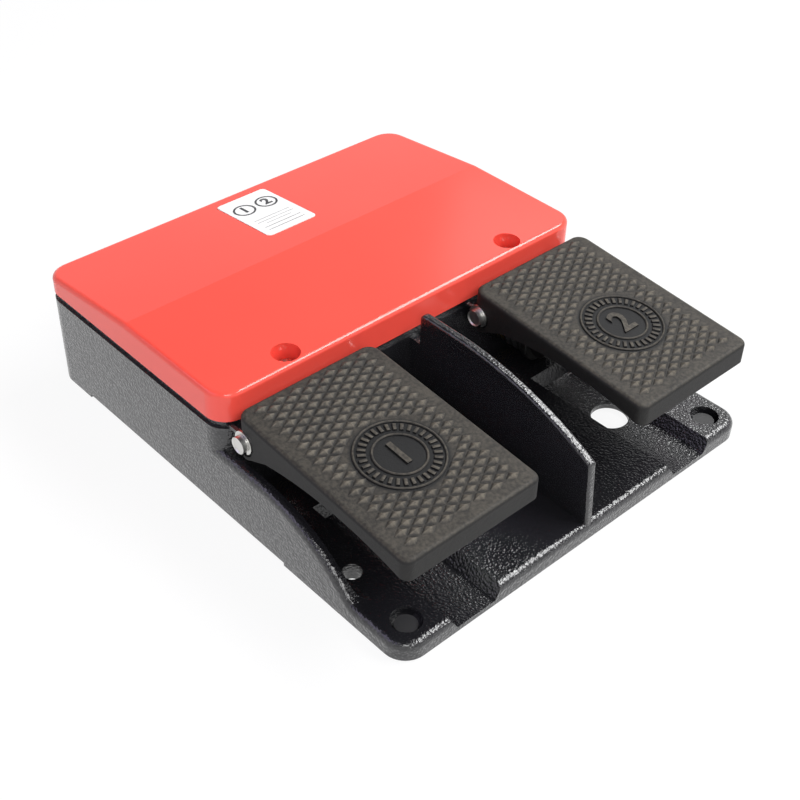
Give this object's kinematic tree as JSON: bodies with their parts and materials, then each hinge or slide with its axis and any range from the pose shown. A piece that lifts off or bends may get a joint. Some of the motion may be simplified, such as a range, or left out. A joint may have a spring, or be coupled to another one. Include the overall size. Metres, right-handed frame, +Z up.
{
  "type": "foot pedal switch",
  "caption": "Foot switch with two hinged pedals side by side on a low black cast tray, and a red cover over the switch box behind them",
  "frame": {"origin": "under the middle of the outline, on the surface that the rubber feet stand on", "axes": "+X to the right as the operator sees it, +Y to the rear from the pedals to the cable gland, +Z up"},
  "size_m": [0.2, 0.254, 0.0605],
  "materials": {
    "base": "die-cast aluminium with a glossy black textured powder coat",
    "cover": "die-cast aluminium with a red gloss coat of fine orange-peel",
    "pedal": "dark grey glass-filled nylon, matte, fine spark-eroded grain",
    "steel": "turned steel",
    "zinc": "zinc-plated steel screws",
    "rubber": "black moulded rubber",
    "acetal": "black acetal, turned",
    "brass": "nickel-free turned brass",
    "switch_case": "black thermoset switch case",
    "button": "red moulded button",
    "gland": "black polyamide",
    "label": "white printed film"
  },
  "bodies": {
    "housing": {"base_casting": "base", "cover": "cover", "cover_gasket": "rubber", "cover_label": "label", "rubber_feet": "rubber", "cover_screws": "zinc", "switch_mount_screws": "zinc", "earth_screw": "brass", "axle_retaining_rings": "steel", "bush_nuts": "brass", "switch_terminal_screws": "zinc", "cable_gland": "gland", "gland_locknut": "gland", "gland_nut": "gland", "gland_seal": "rubber", "left_axle": "steel", "left_guide_bush": "brass", "left_boot": "rubber", "left_return_spring": "steel", "left_switch_body": "switch_case", "right_axle": "steel", "right_guide_bush": "brass", "right_boot": "rubber", "right_return_spring": "steel", "right_switch_body": "switch_case"},
    "left_pedal": {"left_pedal": "pedal"},
    "left_plunger": {"left_plunger": "acetal", "left_plunger_collar": "steel"},
    "left_button": {"left_switch_button": "button"},
    "right_pedal": {"right_pedal": "pedal"},
    "right_plunger": {"right_plunger": "acetal", "right_plunger_collar": "steel"},
    "right_button": {"right_switch_button": "button"}
  },
  "joints": [
    {"name": "left_pedal_hinge", "type": "hinge", "parent": "housing", "child": "left_pedal", "pos_m": [-0.0628, -0.0325, 0.0442], "axis": [1, 0, 0], "range_deg": [0, 12], "stiffness_Nm_per_rad": 4, "springref_deg": -20.05},
    {"name": "left_plunger_slide", "type": "slide", "parent": "housing", "child": "left_plunger", "axis": [0, 1, 0], "range_m": [0, 0.0055], "deforming": ["left_boot", "left_return_spring"]},
    {"name": "left_button_slide", "type": "slide", "parent": "housing", "child": "left_button", "axis": [0, 1, 0], "range_m": [0, 0.0055]},
    {"name": "right_pedal_hinge", "type": "hinge", "parent": "housing", "child": "right_pedal", "pos_m": [0.0628, -0.0325, 0.0442], "axis": [1, 0, 0], "range_deg": [0, 12], "stiffness_Nm_per_rad": 4, "springref_deg": -20.05},
    {"name": "right_plunger_slide", "type": "slide", "parent": "housing", "child": "right_plunger", "axis": [0, 1, 0], "range_m": [0, 0.0055], "deforming": ["right_boot", "right_return_spring"]},
    {"name": "right_button_slide", "type": "slide", "parent": "housing", "child": "right_button", "axis": [0, 1, 0], "range_m": [0, 0.0055]}
  ],
  "couplings": [
    {"joint": "left_plunger_slide", "follows": "left_pedal_hinge", "m_per_rad": 0.0256},
    {"joint": "left_button_slide", "follows": "left_pedal_hinge", "m_per_rad": 0.0256},
    {"joint": "right_plunger_slide", "follows": "right_pedal_hinge", "m_per_rad": 0.0256},
    {"joint": "right_button_slide", "follows": "right_pedal_hinge", "m_per_rad": 0.0256}
  ]
}
